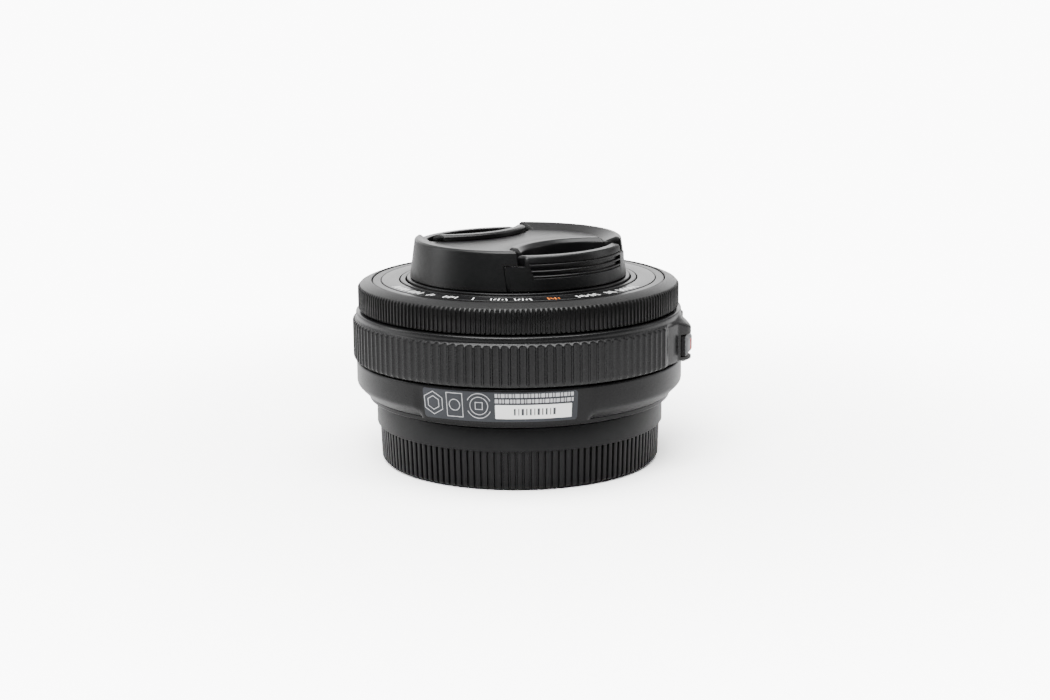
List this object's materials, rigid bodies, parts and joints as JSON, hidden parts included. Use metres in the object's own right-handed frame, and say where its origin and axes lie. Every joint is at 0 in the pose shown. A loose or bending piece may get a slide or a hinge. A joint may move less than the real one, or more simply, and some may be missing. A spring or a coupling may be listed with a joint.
{
  "type": "camera lens",
  "caption": "Pancake prime camera lens with ribbed focus and aperture rings, a locking button, bayonet mount, pinch-type front cap and ribbed rear cap; optics, iris and focus drive inside.",
  "frame": {"origin": "centre of the rear cap's flat underside, on the surface that the lens stands on", "axes": "+Z along the optical axis towards the front of the lens, -Y towards the side with the label, so that the aperture ring's lock button is 14 degrees before +X"},
  "size_m": [0.0636, 0.062, 0.0418],
  "materials": {
    "cap_plastic": "fine matt moulded black",
    "barrel_black": "satin black anodised",
    "ring_black": "satin black anodised",
    "inner_black": "matt anti-reflection black",
    "button_grey": "satin grey with a red mark",
    "label": "slate grey printed film",
    "mount_metal": "turned and plated",
    "steel": "machined",
    "blade_black": "dark coated steel",
    "brass": "machined",
    "aluminium": "machined",
    "rubber": "soft black",
    "glass": "polished and coated",
    "board": "circuit board",
    "gold": "gold plated",
    "gear_plastic": "acetal"
  },
  "bodies": {
    "lens_body": {"rear_barrel": "barrel_black", "info_label": "label", "mount_ring": "mount_metal", "mount_screw_1": "steel", "mount_screw_2": "steel", "mount_screw_3": "steel", "mount_gasket": "rubber", "contact_block": "inner_black", "contact_strip": "gold", "rear_baffle": "inner_black", "main_board": "board", "click_spring": "steel", "click_ball": "steel", "front_barrel": "barrel_black", "name_ring": "ring_black", "seal_ring": "barrel_black", "focus_sensor": "inner_black", "guide_barrel": "aluminium", "idler_pin": "steel", "focus_motor": "steel"},
    "rear_cap": {"rear_cap": "cap_plastic"},
    "aperture_ring": {"aperture_ring": "ring_black", "lock_spring": "steel"},
    "lock_button": {"lock_button": "button_grey"},
    "focus_ring": {"focus_ring": "ring_black", "focus_encoder_ring": "inner_black"},
    "cam_ring": {"cam_ring": "brass"},
    "idler_gear": {"idler_gear": "gear_plastic"},
    "motor_pinion": {"motor_pinion": "brass"},
    "lens_unit": {"inner_barrel": "barrel_black", "front_bezel": "inner_black", "front_cell": "inner_black", "rear_cell": "inner_black", "element_1": "glass", "element_2": "glass", "element_3": "glass", "element_4": "glass", "element_5": "glass", "element_6": "glass", "element_7": "glass", "iris_housing": "inner_black", "iris_motor": "steel", "cam_follower_1": "steel", "cam_follower_2": "steel", "cam_follower_3": "steel"},
    "iris_ring": {"iris_ring": "inner_black"},
    "iris_blade_1": {"iris_blade_1": "blade_black"},
    "iris_blade_2": {"iris_blade_2": "blade_black"},
    "iris_blade_3": {"iris_blade_3": "blade_black"},
    "iris_blade_4": {"iris_blade_4": "blade_black"},
    "iris_blade_5": {"iris_blade_5": "blade_black"},
    "iris_blade_6": {"iris_blade_6": "blade_black"},
    "iris_blade_7": {"iris_blade_7": "blade_black"},
    "iris_pinion": {"iris_pinion": "brass"},
    "front_cap": {"front_cap_body": "cap_plastic", "front_cap_retainer": "cap_plastic", "front_cap_spring_right": "steel", "front_cap_spring_left": "steel"},
    "cap_latch_right": {"front_cap_latch_right": "cap_plastic"},
    "cap_latch_left": {"front_cap_latch_left": "cap_plastic"}
  },
  "joints": [
    {"name": "front_cap_lift", "type": "slide", "parent": "lens_unit", "child": "front_cap", "axis": [0, 0, 1], "range_m": [0, 0.012]},
    {"name": "cap_latch_right_squeeze", "type": "slide", "parent": "front_cap", "child": "cap_latch_right", "axis": [-0.6361, 0.7716, 0], "range_m": [0, 0.0013], "stiffness_N_per_m": 300, "springref_m": -0.0015, "deforming": ["front_cap_spring_right"]},
    {"name": "cap_latch_left_squeeze", "type": "slide", "parent": "front_cap", "child": "cap_latch_left", "axis": [0.6361, -0.7716, 0], "range_m": [0, 0.0013], "stiffness_N_per_m": 300, "springref_m": -0.0015, "deforming": ["front_cap_spring_left"]},
    {"name": "focus_ring_turn", "type": "hinge", "parent": "lens_body", "child": "focus_ring", "pos_m": [0, 0, 0.0315], "axis": [0, 0, 1], "continuous": true},
    {"name": "aperture_ring_turn", "type": "hinge", "parent": "lens_body", "child": "aperture_ring", "pos_m": [0, 0, 0.024], "axis": [0, 0, 1], "range_deg": [0, 84]},
    {"name": "lock_button_press", "type": "slide", "parent": "aperture_ring", "child": "lock_button", "axis": [-0.9703, 0.2419, 0], "range_m": [0, 0.0007], "stiffness_N_per_m": 400, "springref_m": -0.0008, "deforming": ["lock_spring"]},
    {"name": "rear_cap_twist", "type": "hinge", "parent": "lens_body", "child": "rear_cap", "pos_m": [0, 0, 0.006], "axis": [0, 0, 1], "range_deg": [0, 60]},
    {"name": "focus_cam_turn", "type": "hinge", "parent": "lens_body", "child": "cam_ring", "pos_m": [0, 0, 0.022], "axis": [0, 0, 1], "range_deg": [0, 100.5]},
    {"name": "lens_unit_extend", "type": "slide", "parent": "lens_body", "child": "lens_unit", "axis": [0, 0, 1], "range_m": [0, 0.0027]},
    {"name": "idler_gear_spin", "type": "hinge", "parent": "lens_body", "child": "idler_gear", "pos_m": [-0.02096, 0.0121, 0.0164], "axis": [0, 0, 1], "range_deg": [-1120, 0]},
    {"name": "motor_pinion_spin", "type": "hinge", "parent": "lens_body", "child": "motor_pinion", "pos_m": [-0.02382, 0.00991, 0.0164], "axis": [0, 0, 1], "range_deg": [0, 1400]},
    {"name": "iris_ring_turn", "type": "hinge", "parent": "lens_unit", "child": "iris_ring", "pos_m": [0, 0, 0.0225], "axis": [0, 0, 1], "range_deg": [0, 24]},
    {"name": "iris_blade_1_swing", "type": "hinge", "parent": "lens_unit", "child": "iris_blade_1", "pos_m": [0.0094, 0, 0.0235], "axis": [0, 0, 1], "range_deg": [0, 32.5]},
    {"name": "iris_blade_2_swing", "type": "hinge", "parent": "lens_unit", "child": "iris_blade_2", "pos_m": [0.00586, 0.00735, 0.0235], "axis": [0, 0, 1], "range_deg": [0, 32.5]},
    {"name": "iris_blade_3_swing", "type": "hinge", "parent": "lens_unit", "child": "iris_blade_3", "pos_m": [-0.00209, 0.00916, 0.0235], "axis": [0, 0, 1], "range_deg": [0, 32.5]},
    {"name": "iris_blade_4_swing", "type": "hinge", "parent": "lens_unit", "child": "iris_blade_4", "pos_m": [-0.00847, 0.00408, 0.0235], "axis": [0, 0, 1], "range_deg": [0, 32.5]},
    {"name": "iris_blade_5_swing", "type": "hinge", "parent": "lens_unit", "child": "iris_blade_5", "pos_m": [-0.00847, -0.00408, 0.0235], "axis": [0, 0, 1], "range_deg": [0, 32.5]},
    {"name": "iris_blade_6_swing", "type": "hinge", "parent": "lens_unit", "child": "iris_blade_6", "pos_m": [-0.00209, -0.00916, 0.0235], "axis": [0, 0, 1], "range_deg": [0, 32.5]},
    {"name": "iris_blade_7_swing", "type": "hinge", "parent": "lens_unit", "child": "iris_blade_7", "pos_m": [0.00586, -0.00735, 0.0235], "axis": [0, 0, 1], "range_deg": [0, 32.5]},
    {"name": "iris_pinion_spin", "type": "hinge", "parent": "lens_unit", "child": "iris_pinion", "pos_m": [0.00997, 0.00997, 0.0225], "axis": [0, 0, 1], "range_deg": [-202, 0]}
  ],
  "couplings": [
    {"joint": "focus_cam_turn", "follows": "lens_unit_extend", "rad_per_m": 646.42},
    {"joint": "idler_gear_spin", "follows": "lens_unit_extend", "rad_per_m": -7175.2},
    {"joint": "motor_pinion_spin", "follows": "lens_unit_extend", "rad_per_m": 8969},
    {"joint": "iris_blade_1_swing", "follows": "iris_ring_turn", "ratio": 1.3333},
    {"joint": "iris_blade_2_swing", "follows": "iris_ring_turn", "ratio": 1.3333},
    {"joint": "iris_blade_3_swing", "follows": "iris_ring_turn", "ratio": 1.3333},
    {"joint": "iris_blade_4_swing", "follows": "iris_ring_turn", "ratio": 1.3333},
    {"joint": "iris_blade_5_swing", "follows": "iris_ring_turn", "ratio": 1.3333},
    {"joint": "iris_blade_6_swing", "follows": "iris_ring_turn", "ratio": 1.3333},
    {"joint": "iris_blade_7_swing", "follows": "iris_ring_turn", "ratio": 1.3333},
    {"joint": "iris_pinion_spin", "follows": "iris_ring_turn", "ratio": -8.4}
  ]
}
